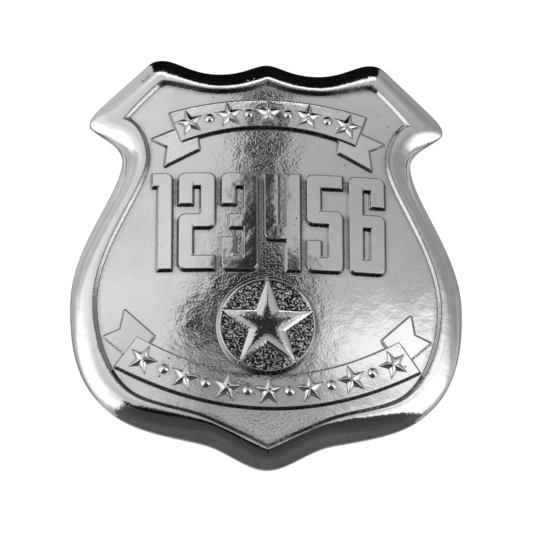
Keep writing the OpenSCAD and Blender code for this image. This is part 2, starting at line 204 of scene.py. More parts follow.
def inset(d):
    """The inner edge moved inwards by d with mitred corners. Each smooth span slides back from its corners by
    d tan(turn/2), so its stations never cross the mitre; the stations of a doubled knot share the mitre's point."""
    out = np.zeros_like(INNER_HALF)
    for first, last, turn_a, turn_b in SPANS:
        p = INNER_HALF[first:last + 1]
        m = -NORMAL_HALF[first:last + 1].copy()
        m[0] = -polar(1.0, INNER_EDGE[np.searchsorted(KNOT_AT, first), 3] + 90)
        m[-1] = -polar(1.0, INNER_EDGE[np.searchsorted(KNOT_AT, last), 2] + 90)
        s = np.concatenate([[0], np.cumsum(length(np.diff(p, axis=0)))])
        cut_a, cut_b = d * math.tan(math.radians(turn_a)), d * math.tan(math.radians(turn_b))
        at = cut_a + (s[-1] - cut_a - cut_b) * s / s[-1]
        along = np.stack([np.interp(at, s, p[:, k]) for k in (0, 1)], -1)
        side = unit(np.stack([np.interp(at, s, m[:, k]) for k in (0, 1)], -1))
        out[first:last + 1] = along + d * side
        for end, k, turn in ((first, 0, turn_a), (last, -1, turn_b)):
            back = 1 if k == 0 else -1
            mitre = polar(d / math.cos(math.radians(turn)), math.degrees(math.atan2(m[k, 1], m[k, 0])) + back * turn)
            out[end] = p[k] + mitre
    for (_, last, _, _), (first, _, _, _) in zip(SPANS[:-1], SPANS[1:]):
        out[last:first + 1] = out[last]
    out[[0, -1], 0] = 0
    return both_sides(out)


def outset(d):
    """The inner edge moved outwards by d, with round corners at its doubled knots."""
    out = INNER_HALF + d * NORMAL_HALF
    out[0] = INNER_HALF[0] + [0, d / math.cos(math.radians(SPANS[0][2]))]
    out[-1] = INNER_HALF[-1] - [0, d / math.cos(math.radians(SPANS[-1][3]))]
    return both_sides(out)


# ---- heights

def dome(p):
    """Height of the field: top - x^2/fx - (y - y0)^2/fy."""
    return DOME_TOP - p[..., 0] ** 2 / DOME_FLAT[0] - (p[..., 1] - DOME_Y) ** 2 / DOME_FLAT[1]


def roof(p):
    """Height of the hollow's roof, the same form with its own sizes."""
    return ROOF_TOP - p[..., 0] ** 2 / ROOF_FLAT[0] - (p[..., 1] - DOME_Y) ** 2 / ROOF_FLAT[1]


def knee(x, k):
    """max(x, 0) with its bend rounded over -k to k by the parabola (x + k)^2 / 4k."""
    return np.where(np.abs(x) < k, (x + k) ** 2 / (4 * k), np.maximum(x, 0))


def ramp(d, wide, k, k_foot=None):
    """1 inside (d < 0), falling to 0 over the width, with both bends rounded: 1 - (knee(d) - knee(d - wide)) / wide."""
    return 1 - (knee(d, k) - knee(d - wide, k_foot or k)) / wide


def to_segment(p, a, b):
    """Distance from points p to the segments a-b, as a table of points by segments."""
    ab = b - a
    t = held(((p[:, None] - a) * ab).sum(-1) / np.maximum((ab * ab).sum(-1), 1e-12))
    return length(p[:, None] - a - t[..., None] * ab)


def to_polygon(p, loop):
    """Distance from points p to the closed loop, negative inside (crossings of a ray to +X counted)."""
    if len(p) > 3000:
        return np.concatenate([to_polygon(part, loop) for part in np.array_split(p, len(p) // 3000 + 1)])
    a, b = loop, np.roll(loop, -1, axis=0)
    d = to_segment(p, a, b).min(1)
    y = p[:, None, 1]
    cuts = (a[:, 1] > y) != (b[:, 1] > y)
    with np.errstate(divide="ignore", invalid="ignore"):
        x = a[:, 0] + (y - a[:, 1]) * (b[:, 0] - a[:, 0]) / (b[:, 1] - a[:, 1])
    inside = (cuts & (p[:, None, 0] < x)).sum(1) % 2 == 1
    return np.where(inside, -d, d)


def to_line(p, line, half):
    """Distance from points p to a stroke of the given half width: round at its bends, square at its two ends,
    which reach half a width beyond the line's end points."""
    best = np.full(len(p), np.inf)
    for i, (a, b) in enumerate(zip(line[:-1], line[1:])):
        long = np.linalg.norm(b - a)
        u = (p - a) @ ((b - a) / long)
        v = np.abs((p - a) @ (np.array([a[1] - b[1], b[0] - a[0]]) / long))
        past = np.maximum(-u, u - long)
        round_end = np.hypot(np.maximum(past, 0), v) - half
        over, wide = past - half, v - half
        square_end = np.hypot(np.maximum(over, 0), np.maximum(wide, 0)) + np.minimum(np.maximum(over, wide), 0)
        is_square = np.where(u < long / 2, i == 0, i + 2 == len(line))
        best = np.minimum(best, np.where(is_square, square_end, round_end))
    return best


def star_share(p, radius, waist, soft):
    """How far out points lie in a five-pointed star: 1 on its outline, 0 in its middle. The plane is folded onto
    one half of one point, where the outline is a straight line; the fold is rounded a little."""
    r = length(p)
    a = np.degrees(np.arctan2(p[:, 0], p[:, 1]))
    a = np.abs((a + 36) % 72 - 36)
    q = np.stack([r * np.cos(np.radians(a)), np.sqrt((r * np.sin(np.radians(a))) ** 2 + soft ** 2)], -1)
    tip, inner = np.array([radius, 0]), polar(radius * waist, 36.0)
    n = np.array([tip[1] - inner[1], inner[0] - tip[0]])
    return (q @ n) / (tip @ n)


def star_points(waist):
    """Outline of a five-pointed star of radius 1, its first point at the top, clockwise."""
    k = np.arange(10)
    return polar(np.where(k % 2 == 0, 1.0, waist), 90.0 - 36 * k)


def bow(edge, s):
    """A ribbon's long edge: x = s x1, y = y0 + (y1 - y0) s^2."""
    return np.stack([s * edge[1], edge[0] + (edge[2] - edge[0]) * s * s], -1)


# ---- lines that the net follows

def parallel(loop, d):
    """The closed clockwise loop moved outwards by d: round at corners that point away, mitred at the others."""
    e = unit(np.roll(loop, -1, axis=0) - loop)
    n = np.stack([-e[:, 1], e[:, 0]], -1)
    before = np.roll(n, 1, axis=0)
    turn = before[:, 0] * n[:, 1] - before[:, 1] * n[:, 0]
    away = (turn < -0.2) if d > 0 else (turn > 0.2)
    mix = np.linspace(0, 1, 5)[:, None, None]
    fan = unit(before * (1 - mix) + n * mix)
    mitre = (before + n) / (1 + (before * n).sum(1, keepdims=True))
    way = np.where(away[None, :, None], fan, mitre[None])
    return (loop[None] + d * way).transpose(1, 0, 2).reshape(-1, 2)


def stepped(loop, step, closed=True):
    """The same line with points at most step apart, and none closer than a fifth of it to the one before."""
    end = np.roll(loop, -1, axis=0)
    long = length(end - loop)
    if not closed:
        loop, end, long = loop[:-1], end[:-1], long[:-1]
    n = np.where(long < step / 5, 0, np.ceil(long / step).astype(int))
    at = np.repeat(np.arange(len(loop)), n)
    share = (np.arange(len(at)) - np.repeat(np.cumsum(n) - n, n)) / n[at]
    out = loop[at] + (end - loop)[at] * share[:, None]
    return out if closed else np.vstack([out, end[-1:]])


def around(line, half):
    """Clockwise outline of a stroke: round outside its bends, sharp inside them, square at its ends."""
    e = unit(np.diff(line, axis=0))
    ends = np.array([line[0] - e[0] * half, line[-1] + e[-1] * half])
    sides = []
    for way in (1, -1):
        pts = [ends[0] + way * half * np.array([-e[0, 1], e[0, 0]])]
        for i in range(1, len(line) - 1):
            a, b = e[i - 1], e[i]
            na, nb = way * np.array([-a[1], a[0]]), way * np.array([-b[1], b[0]])
            turn = (a[0] * b[1] - a[1] * b[0]) * way
            if turn < -0.1:
                mix = np.linspace(0, 1, 9)[:, None] * np.pi / 2
                pts += list(line[i] + half * unit(na * np.cos(mix) + nb * np.sin(mix)))
            elif turn > 0.1:
                pts.append(line[i] + half * (na + nb))
        pts.append(ends[1] + way * half * np.array([-e[-1, 1], e[-1, 0]]))
        sides.append(np.array(pts))
    return np.vstack([sides[0], sides[1][::-1]])


def ring_faces(count, n):
    """Two triangles for each cell between rings of n points, the rings one after the other."""
    r, i = np.meshgrid(np.arange(count - 1), np.arange(n), indexing="ij")
    j = (i + 1) % n
    quads = np.stack([r * n + i, (r + 1) * n + i, (r + 1) * n + j, r * n + j], -1).reshape(-1, 4)
    return np.vstack([quads[:, [0, 1, 2]], quads[:, [0, 2, 3]]])


# ---- raised work

class Form:
    """One raised form: its height above what it stands on and how far points lie past the foot of its side, both
    worked out near it alone, the width of that side, whether it stands on others, and the lines around it."""

    def __init__(self, lines, rise, past, wide=0.0, on_top=False):
        self.lines, self.rise, self.past, self.wide, self.on_top = lines, rise, past, wide, on_top
        points = np.vstack(lines)
        self.low, self.top = points.min(0) - 0.4, points.max(0) + 0.4

    def near(self, p, values, far):
        """values(p) for the points near the form, and the number far for all others."""
        out, near = np.full(len(p), far), ((p > self.low) & (p < self.top)).all(1)
        out[near] = values(p[near])
        return out

    def height(self, p):
        """Relief of the form at points p."""
        return self.near(p, self.rise, 0.0)

    def past_foot(self, p):
        """Distance beyond the foot of the form's side."""
        return self.near(p, self.past, 9.0)


def raised(away, loops, high, wide=DRAFT, soft=SOFT):
    """A form with a sloping side: high(p) * ramp(away(p)), where away is the distance outside its loops."""
    k = CORNER_SOFT
    levels = (-soft, -soft / 3, soft / 3, soft, wide - k, wide - k / 3, wide + k / 3, wide + k, wide + 3 * k)
    return Form([stepped(parallel(loop, d), 0.34) for loop in loops for d in levels],
                lambda p: high(p) * ramp(away(p), wide, soft, k), lambda p: away(p) - wide, wide)


def digit(lines, left, wide):
    """One digit: strokes around its centre lines in a cell of the given width."""
    low = np.array([left + STROKE / 2, DIGITS_Y + STROKE / 2])
    size = np.array([wide - STROKE, DIGITS_HIGH - STROKE])
    strokes = [low + np.array(line, float) * size for line in lines]
    return raised(lambda p: np.min([to_line(p, s, STROKE / 2) for s in strokes], axis=0),
                  [around(s, STROKE / 2) for s in strokes], lambda p: RELIEF)


def band(highs, upper, lower):
    """A ribbon's main band between two bowed edges. It leans: its height goes evenly from the upper edge's to the
    lower edge's."""
    s = np.linspace(-1, 1, 29)
    loop = np.vstack([bow(upper, s), bow(lower, s[::-1])])

    def high(p):
        """Height between both edges, even from one to the other."""
        up, down = (edge[0] + (edge[2] - edge[0]) * (p[:, 0] / edge[1]) ** 2 for edge in (upper, lower))
        return highs[0] + (highs[1] - highs[0]) * held((up - p[:, 1]) / (up - down))

    return raised(lambda p: to_polygon(p, loop), [loop], high)


def tail(points, edge, side):
    """A folded, notched end of a ribbon on one side. It leans away from its high edge."""
    loop = np.array(points, float)
    a, b = loop[[edge]] * [side, 1], loop[[edge + 1]] * [side, 1]
    loop = loop if side > 0 else loop[::-1] * [-1, 1]
    return raised(lambda p: to_polygon(p, loop), [loop],
                  lambda p: np.maximum(TAIL_HIGH - TAIL_FALL * to_segment(p, a, b)[:, 0], 0.2))


def star(at, turn, radius, waist, wall, pillow, power, wide, soft, step):
    """A five-pointed star that stands on the rest: a short side around its outline, and on it a pillow whose ridges
    are rounded, wall * ramp(distance outside) + pillow * (1 - share^power)."""
    c, s = math.cos(math.radians(turn)), math.sin(math.radians(turn))
    axes = np.array([[c, s], [-s, c]])
    shape = star_points(waist)
    side = np.array([shape[1, 1] - shape[0, 1], shape[0, 0] - shape[1, 0]])
    deep = abs(side @ shape[0]) / np.linalg.norm(side) * radius
    outs = np.array([-soft, -soft / 3, soft / 3, soft, wide - soft, wide, wide + soft, wide + soft * 2.5])
    lines = [stepped(shape * radius * k, step) for k in (0.2, 0.4, 0.6, 0.8, 0.9, *(1 + outs / deep))]
    lines += [stepped(np.array([tip * radius * 0.2, tip * radius * 1.03]), step, False) for tip in shape]

    def share(p, rounded):
        """How far out in the star, with its fold rounded over a part of its radius."""
        return star_share((p - at) @ axes.T, radius, waist, rounded * radius)

    def outside(p):
        """Distance outside the outline: (share - 1) * distance of the middle from the outline."""
        return (share(p, 0.01) - 1) * deep

    def rise(p):
        """Side and pillow together, cut off square past the tips, at 1.25 radii."""
        near = (np.abs(p - at) < 1.25 * radius).all(1)
        return near * (wall * ramp(outside(p), wide, soft) + pillow * np.maximum(1 - share(p, 0.03) ** power, 0))

    return Form([line @ axes + at for line in lines], rise, lambda p: outside(p) - wide, wide, True)


def circle(radius, step):
    """Points about a step apart round a circle, clockwise: (r cos a, r sin a)."""
    n = max(10, int(2 * math.pi * radius / step))
    return polar(radius, -np.arange(n) * 360.0 / n)


def round_form(at, profile, radii, high, wide, on_top, step=0.3):
    """A round form: high(p) * profile(distance from its middle), with its foot just inside the largest radius."""
    return Form([at + circle(r, step) for r in radii], lambda p: high(p) * profile(length(p - at)),
                lambda p: length(p - at) - max(radii) + 0.1, wide, on_top)


def ring_profile(r):
    """Narrow crest at the ring's radius with a long outer and a short inner side."""
    out, back = r - RING_RADIUS - RING_HALF, RING_RADIUS - RING_HALF - r
    return np.minimum(ramp(out, RING_OUT, RING_SOFT), ramp(back, RING_IN, RING_SOFT))


def disc():
    """The ground of the large star, a disc that leans: it stands out at its lower end and sinks in at its upper."""
    return round_form(DISC, lambda r: ramp(r - RING_RADIUS - RING_HALF, RING_OUT, RING_SOFT),
                      [RING_RADIUS + RING_HALF + RING_OUT + 0.1],
                      lambda p: DISC_LEAN * held(0.5 - (p[:, 1] - DISC[1]) / (2 * RING_RADIUS)), RING_OUT, False)


def ring():
    """The ring around the large star."""
    k = RING_SOFT
    radii = [RING_RADIUS + way * RING_HALF + way * d for way, wide in ((1, RING_OUT), (-1, RING_IN))
             for d in (-k, -k / 3, k / 3, k, wide - k, wide, wide + k)]
    return round_form(DISC, ring_profile, radii, lambda p: RING_HIGH, RING_OUT, True)


def bead(at):
    """A small round bead: the upper part of a ball with a soft foot."""
    return round_form(at, lambda r: ramp(r - TRIM_BEAD * 0.45, TRIM_BEAD * 0.5, 0.14),
                      [0.15, 0.3, 0.42, 0.55, 0.68, 0.8, 0.9], lambda p: TRIM_HIGH, 0.0, True, 0.25)


def trims(high, upper, lower, stars):
    """Small stars and beads in turn along the middle line of a band."""
    count = 2 * stars - 1
    s = (((np.arange(count) + 0.5) / count) * 2 - 1) * 0.96
    at = (bow(upper, s) + bow(lower, s)) / 2
    ahead = (bow(upper, s + 0.02) + bow(lower, s + 0.02)) / 2
    turn = np.degrees(np.arctan2(*(ahead - at).T[::-1]))
    return [star(at[i], turn[i], TRIM_STAR, TRIM_WAIST, TRIM_HIGH, 0.25, 2, 0.22, 0.07, 0.25) if i % 2 == 0
            else bead(at[i]) for i in range(count)]


# Where face_forms lists what.
DIGITS, RIBBONS, SHADED, DISC_AT, STAR_AT, RING_AT = slice(0, 6), slice(6, 12), slice(0, 13), 12, 13, 14


def face_forms():
    """Everything raised on the field: digits, bands, tails, disc, star, ring and the bands' trims."""
    pitch = DIGIT_WIDE + DIGIT_GAP
    lefts = [DIGITS_X] + [DIGITS_X + ONE_WIDE + DIGIT_GAP + i * pitch for i in range(5)]
    wides = [ONE_WIDE] + [DIGIT_WIDE] * 5
    forms = [digit(lines, left, wide) for lines, left, wide in zip(DIGIT_LINES, lefts, wides)]
    forms += [band(*UPPER_BAND), band(*LOWER_BAND)]
    forms += [tail(UPPER_TAIL, UPPER_HIGH_EDGE, side) for side in (1, -1)]
    forms += [tail(LOWER_TAIL, LOWER_HIGH_EDGE, side) for side in (1, -1)]
    forms += [disc(), star(DISC, 0.0, STAR_RADIUS, STAR_WAIST, STAR_WALL, STAR_PILLOW, 4, 0.2, 0.06, 0.3), ring()]
    return forms + trims(*UPPER_BAND, UPPER_STARS) + trims(*LOWER_BAND, LOWER_STARS)


def relief(p, forms):
    """Height of all raised work above the field: the highest form that stands on it, plus what stands on that."""
    h = np.zeros(len(p))
    for form in forms:
        h = h + form.height(p) if form.on_top else np.maximum(h, form.height(p))
    return h


# ---- nets

def lattice(loop, pitch, taken, keep_off):
    """Points of a triangular lattice inside the loop that keep off the points in taken."""
    low, high = loop.min(0), loop.max(0)
    rows = np.arange(low[1], high[1], pitch * 0.866)
    cols = np.arange(low[0], high[0], pitch)
    x, y = np.meshgrid(cols, rows)
    p = np.stack([x + (np.arange(len(rows)) % 2)[:, None] * pitch / 2, y], -1).reshape(-1, 2)
    cell = lambda q: np.floor((q - low) / keep_off).astype(np.int64) @ [100003, 1]
    used = np.unique(np.concatenate([cell(taken) + dx * 100003 + dy for dx in (-1, 0, 1) for dy in (-1, 0, 1)]))
    p = p[~np.isin(cell(p), used)]
    return p[to_polygon(p, loop) < -keep_off]


def net(rim, lines, pitch):
    """Triangles that fill the clockwise loop rim and follow the lines. Returns the points, with the rim's first,
    and the triangles, counter-clockwise."""
    n = len(rim)
    points, edges = [rim], [np.stack([np.arange(n), (np.arange(n) + 1) % n], -1)]
    for line, closed in lines:
        m = len(line)
        e = np.stack([np.arange(m), (np.arange(m) + 1) % m], -1) + n
        edges.append(e if closed else e[:-1])
        points.append(line)
        n += m
    taken = np.vstack(points)
    points.append(lattice(rim, pitch, taken, pitch * 0.62))
    flat = [Vector(q) for q in np.vstack(points).tolist()]
    made = delaunay_2d_cdt(flat, np.vstack(edges).tolist(), [], 1, NET_MERGE, True)
    xy = np.array([tuple(v) for v in made[0]])
    tri = np.array(made[2])
    tri = tri[to_polygon(xy[tri].mean(1), rim) < 0]
    first = np.array([min(src) if src else len(flat) for src in made[3]])
    at_rim = np.flatnonzero(first < len(rim))
    return xy, tri, at_rim, first[at_rim]


def face_height(p, forms):
    """Height of the badge's face inside the rim's step, dome + relief."""
    return dome(p) + relief(p, forms)


def face_normals(p, forms, step=0.003):
    """Normals of the face from the slopes of its height, (-dh/dx, -dh/dy, 1) made unit."""
    h = face_height(p, forms)
    slopes = [(face_height(p + way, forms) - h) / step for way in ([step, 0], [0, step])]
    return unit(np.stack([-slopes[0], -slopes[1], np.ones(len(p))], -1))


def lobe_normals(rings, reach=1.6):
    """Normals of the rim's rings near the shoulders' lower corners, where the plating has filled the fold: the
    grid's own normals averaged with the weights exp(-(distance / reach)^2). They are zero elsewhere."""
    out = np.zeros_like(rings)
    rim = rings[-TOP_RINGS:-FIELD_RINGS]
    square = np.cross(np.gradient(rim, axis=0), np.roll(rim, -1, 1) - np.roll(rim, 1, 1))
    square *= np.sign(square[..., 2].sum())
    a, b = np.array([[23.6, 23.6]]), np.array([[28.5, 22.3]])
    for i, (p, own) in enumerate(zip(rim, square)):
        away = length(p[:, None, :2] - p[None, :, :2])
        soft = unit(bell(away, reach) @ own)
        share = held(2 - to_segment(np.column_stack([np.abs(p[:, 0]), p[:, 1]]), a, b) / 2.5)
        out[i - TOP_RINGS] = unit(unit(own) * (1 - share) + soft * share) * (share > 0)
    return out


def casting_mesh():
    """The whole casting as one closed skin. Rings of stations run from the hollow's roof out under the rim, over
    the rim's rounded slope and its crest and down the step; two nets fill the field and the roof."""
    forms = face_forms()
    reach = length(OUTER - INNER)[:, None]
    out_way = unit(OUTER - INNER)
    crest = dome(INNER) + STEP_HIGH
    start, flat = math.radians(RIM_STEEP), math.radians(RIM_FLAT)

    def slope_at(share):
        """Point of the rim a share of the way from the outline to the inner edge: a turned arc from steep to flat."""
        share = np.broadcast_to(share, reach.shape)
        a = np.arcsin(math.sin(start) - share * (math.sin(start) - math.sin(flat)))
        up = (np.cos(a) - math.cos(start)) / (math.cos(flat) - math.cos(start))
        return np.hstack([OUTER + (INNER - OUTER) * share, EDGE_HIGH + (crest[:, None] - EDGE_HIGH) * up])

    def at(p, z):
        """Points p at height z."""
        return np.hstack([p, np.broadcast_to(z, (len(p),))[:, None]])

    def bend(a, b, c, steps):
        """Rounded corner: (1-t)^2 a + 2t(1-t) b + t^2 c."""
        return [(1 - t) ** 2 * a + 2 * t * (1 - t) * b + t * t * c for t in np.linspace(0, 1, steps)]

    def mixed(a, b, steps):
        """Points evenly between a and b, both left out."""
        return [a + (b - a) * t for t in np.linspace(0, 1, steps + 2)[1:-1]]

    lip = inset(HOLLOW_LIP)
    roof_in, roof_at = inset(HOLLOW_LIP + 0.5), at(lip, roof(lip))
    mouth = at(outset(HOLLOW_REACH), 0.0)
    wall = roof_at + (mouth - roof_at) * 0.15
    mouth_in, mouth_out = mouth + (roof_at - mouth) * 0.05, mouth + at(out_way * MOUTH_ROUND, 0.0)
    under = at(OUTER - out_way * UNDER_ROUND, 0.0)
    side_low, side_high = at(OUTER, UNDER_ROUND), at(OUTER, EDGE_HIGH - EDGE_ROUND)
    low_share, near_crest = EDGE_ROUND / reach, CREST_SOFT / reach
    slope_low = slope_at(low_share)
    angles = np.linspace(start, flat, 22)[1:]
    shares = (math.sin(start) - np.sin(angles)) / (math.sin(start) - math.sin(flat))
    slope = [slope_at(low_share + (1 - near_crest - low_share) * s) for s in shares]
    step_in = inset(CREST_SOFT)
    step_at = at(step_in, dome(step_in) + STEP_HIGH * (1 - CREST_SOFT / STEP_WIDE))
    foot, foot_up, foot_in = inset(STEP_WIDE), inset(STEP_WIDE - FOOT_SOFT), inset(STEP_WIDE + FOOT_SOFT)
    foot_top = at(foot_up, dome(foot_up) + STEP_HIGH * FOOT_SOFT / STEP_WIDE)
    rings = (bend(at(roof_in, roof(roof_in)), roof_at, wall, 6) + mixed(wall, mouth_in, 7)
             + bend(mouth_in, mouth, mouth_out, 4) + mixed(mouth_out, under, 1)
             + bend(under, at(OUTER, 0.0), side_low, 5) + mixed(side_low, side_high, 2)
             + bend(side_high, at(OUTER, EDGE_HIGH), slope_low, 4)[:-1] + [slope_low] + slope
             + bend(slope[-1], at(INNER, crest), step_at, 7)[1:] + mixed(step_at, foot_top, 1)
             + bend(foot_top, at(foot, dome(foot)), at(foot_in, dome(foot_in)), 6))
    rings = np.array(rings)
    low = rings[-FIELD_RINGS:].reshape(-1, 3)
    low[:, 2] = np.maximum(low[:, 2], face_height(low[:, :2], forms))
    rings[-FIELD_RINGS:] = low.reshape(FIELD_RINGS, -1, 3)

    count, n = rings.shape[:2]
    tris = ring_faces(count, n)

    def filled(ring_no, lines, pitch, height, up):
        """Net inside a ring, its border tied to the ring's own stations."""
        border = rings[ring_no, :, :2]
        own = single(border)
        station = np.flatnonzero(own)
        xy, tri, at_rim, source = net(border[own], lines, pitch)
        area = np.cross(xy[tri[:, 1]] - xy[tri[:, 0]], xy[tri[:, 2]] - xy[tri[:, 0]])
        tri = np.where((area > 0)[:, None] == up, tri, tri[:, ::-1])
        return at(xy, height(xy)), tri, at_rim, ring_no % count * n + station[source]

    face = filled(-1, face_lines(forms), NET_PITCH, lambda p: face_height(p, forms), True)
    bosses = [boss(-1), boss(1)]
    back = filled(0, [(line, True) for b in bosses for line in b.lines], 1.2,
                  lambda p: roof(p) + (SEAT - roof(p)) * relief(p, bosses), False)
    verts, faces = [rings.reshape(-1, 3)], [tris]
    at_back = [np.repeat(np.arange(count) < BACK_RINGS, n).astype(float), np.zeros(len(face[0])),
               np.ones(len(back[0]))]
    normals = [lobe_normals(rings).reshape(-1, 3), face_normals(face[0][:, :2], forms), np.zeros((len(back[0]), 3))]
    base = count * n
    for pts, tri, at_rim, ring_id in (face, back):
        index = np.arange(len(pts)) + base
        index[at_rim] = ring_id
        verts.append(pts)
        faces.append(index[tri])
        base += len(pts)
    return np.vstack(verts), np.vstack(faces), np.vstack(normals), np.concatenate(at_back)


def face_lines(forms):
    """All lines of the raised work that lie inside the foot of the rim's step, cut where they would leave it."""
    inside = inset(STEP_WIDE + FOOT_SOFT)
    inside = inside[single(inside)]
    out = []
    for form in forms:
        for line in form.lines:
            ok = to_polygon(line, inside) < -0.12
            if ok.all():
                out.append((line, np.linalg.norm(line[0] - line[-1]) < 0.6))
                continue
            turned = np.roll(line, -int(np.argmin(ok)), axis=0)
            ok = np.roll(ok, -int(np.argmin(ok)))
            runs = np.split(np.arange(len(ok)), np.flatnonzero(np.diff(ok.astype(int))) + 1)
            out += [(turned[run], False) for run in runs if ok[run[0]] and len(run) > 2]
    return out


def boss(side):
    """One of the two square bosses that carry the pin, with a height of 1."""
    loop = np.array([side * BOSS_X, PIN_Y]) + BOSS_HALF * np.array([(-1, 1), (1, 1), (1, -1), (-1, -1)])
    return raised(lambda p: to_polygon(p, loop), [loop], lambda p: 1.0, 0.12, 0.05)


# ---- the pin on the back

def skin(rings):
    """A closed skin of rings of points whose first and last ring close on themselves, its faces outward."""
    tris, verts = ring_faces(*rings.shape[:2]), rings.reshape(-1, 3)
    a, b, c = verts[tris].transpose(1, 0, 2)
    return verts, tris if (a * np.cross(b, c)).sum() > 0 else tris[:, ::-1]


def slab(loop, spine, low, high, soft):
    """A plate with rounded edges as rings: from the spine out over the underside, round the edge by two quarter
    turns, soft sin a out and soft (1 - cos a) up, and back over the top."""
    out_way = unit(loop - spine)
    edge = loop - out_way * soft
    rings = [(spine + (edge - spine) * t, low) for t in np.linspace(0, 1, 9)[:-1]]
    rings += [(edge + out_way * soft * math.sin(a), low + soft * (1 - math.cos(a))) for a in QUARTER]
    rings += [(edge + out_way * soft * math.cos(a), high - soft * (1 - math.sin(a))) for a in QUARTER]
    rings += [(spine + (edge - spine) * t, high) for t in np.linspace(1, 0, 9)[1:]]
    return np.array([np.column_stack([xy, np.full(len(xy), w)]) for xy, w in rings])


QUARTER = np.radians(np.linspace(0, 90, 5))


def strip():
    """The pin's strip: a plate with round corners and two round dents where it is welded to the bosses."""
    a, b, r = STRIP_LONG / 2, STRIP_WIDE / 2, 1.1
    corner = np.array([a - r, b - r]) + polar(r, np.linspace(0, 90, 8))
    long_edge = np.column_stack([np.linspace(a - r, 0, 41)[1:], np.full(40, b)])
    part = np.vstack([[(a, 0)], corner, long_edge])
    loop = np.vstack([part[:-1], (part[::-1] * [-1, 1])[:-1], (-part)[:-1], (part[::-1] * [1, -1])[:-1]])
    spine = np.column_stack([np.round(np.clip(loop[:, 0], b - a, a - b), 3), np.zeros(len(loop))])
    rings = slab(loop, spine, STRIP_LOW, SEAT, 0.15)
    dent = sum(np.exp(-((rings[..., 0] - x) ** 2 + rings[..., 1] ** 2) / 0.6) for x in (-BOSS_X, BOSS_X))
    rings[..., 2] += 0.2 * dent * (rings[..., 2] < STRIP_LOW + 0.01)
    return skin(rings + [0, PIN_Y, 0])


def ear(y):
    """One ear of the hinge: a tongue with a round end that hangs from the strip."""
    c = np.array([HINGE_X, NEEDLE_Z])
    arc = c + polar(0.74, np.linspace(180, 360, 25))
    loop = np.vstack([arc, np.column_stack([np.full(4, arc[-1, 0]), np.linspace(1.4, 2.1, 4)]),
                      np.column_stack([np.full(4, arc[0, 0]), np.linspace(2.1, 1.4, 4)])])
    spine = np.column_stack([np.full(len(loop), c[0]), np.round(np.clip(loop[:, 1], c[1], 1.8), 3)])
    return skin(slab(loop, spine, y - 0.15, y + 0.15, 0.05)[..., [0, 2, 1]])


def hook():
    """The catch: a band that hangs from the strip and curls under the needle, in a J."""
    bend = np.array([9.8, 1.15]) + polar(0.6, np.linspace(0, -90, 10))
    curl = np.array([8.9, 0.95]) + polar(0.4, np.linspace(-90, -165, 8))
    line = np.vstack([[(10.4, 2.1), (10.4, 1.6)], bend, [(9.35, 0.55)], curl])
    ahead = unit(np.gradient(line, axis=0))
    side = np.stack([-ahead[:, 1], ahead[:, 0]], -1) * 0.15
    loop, spine = np.vstack([line + side, (line - side)[::-1]]), np.vstack([line, line[::-1]])
    return skin(slab(loop, spine, -12.0, -10.4, 0.06)[..., [2, 0, 1]])


def wire(path, radius):
    """A wire along a path that bends in upright planes: rings of 16 points square to the path."""
    ahead = unit(np.gradient(path, axis=0))
    side = unit(np.cross(ahead, (0, 1, 0)))
    up = np.cross(side, ahead)
    turn = np.radians(np.arange(16) * 22.5)[:, None]
    ring = side[:, None] * np.cos(turn) + up[:, None] * np.sin(turn)
    return skin(path[:, None] + ring * radius[:, None, None])


def needle():
    """The needle: a wire wound once round the hinge's rivet, (r cos a, r sin a), then straight to a sharp point."""
    a = np.linspace(300, -90, 52)
    coil = np.column_stack([HINGE_X + 0.4 * np.cos(np.radians(a)), PIN_Y + 0.62 * (a + 90) / 360,
                            NEEDLE_Z + 0.4 * np.sin(np.radians(a))])
    t = np.linspace(0, 1, 60)[1:]
    rise = 3 * t ** 2 - 2 * t ** 3
    straight = np.column_stack([HINGE_X + (NEEDLE_TIP - HINGE_X) * t, np.full(59, PIN_Y),
                                NEEDLE_Z - 0.4 * (1 - rise)])
    path = np.vstack([coil[:1], coil, straight, straight[-1:]])
    path[0, 0] += 1e-3
    path[-1, 0] -= 1e-3
    radius = np.full(len(path), NEEDLE_RADIUS)
    radius[-9:] *= np.sqrt(np.linspace(1, 0, 9))
    radius[0] = 0
    return wire(path, radius)


def rivet():
    """The hinge's rivet: a round bar across both ears, (r cos a, r sin a), with rounded ends."""
    loop = np.array([HINGE_X, NEEDLE_Z]) + polar(0.3, np.arange(24) * 15.0)
    spine = np.broadcast_to([HINGE_X, NEEDLE_Z], loop.shape)
    return skin(slab(loop, spine, PIN_Y - 1.2, PIN_Y + 1.2, 0.1)[..., [0, 2, 1]])


def pin_mesh():
    """All closed shells of the pin in one mesh."""
    shells = [strip(), ear(PIN_Y - 0.95), ear(PIN_Y + 0.95), hook(), needle(), rivet()]
    starts = np.cumsum([0] + [len(verts) for verts, _ in shells[:-1]])
    return (np.vstack([verts for verts, _ in shells]),
            np.vstack([tris + start for (_, tris), start in zip(shells, starts)]))


def new_object(name, points, faces, material, marks):
    """An object in the scene from points in millimetres, with a number or a vector at each point for each mark."""
    mesh = bpy.data.meshes.new(name)
    mesh.from_pydata((points * METRE).tolist(), [], faces)
    for mark, values in marks.items():
        kind, field = ("FLOAT", "value") if values.ndim == 1 else ("FLOAT_VECTOR", "vector")
        mesh.attributes.new(mark, kind, "POINT").data.foreach_set(field, values.astype(np.float32).ravel())
    mesh.materials.append(material)
    made = bpy.data.objects.new(name, mesh)
    bpy.context.scene.collection.objects.link(made)
    return made


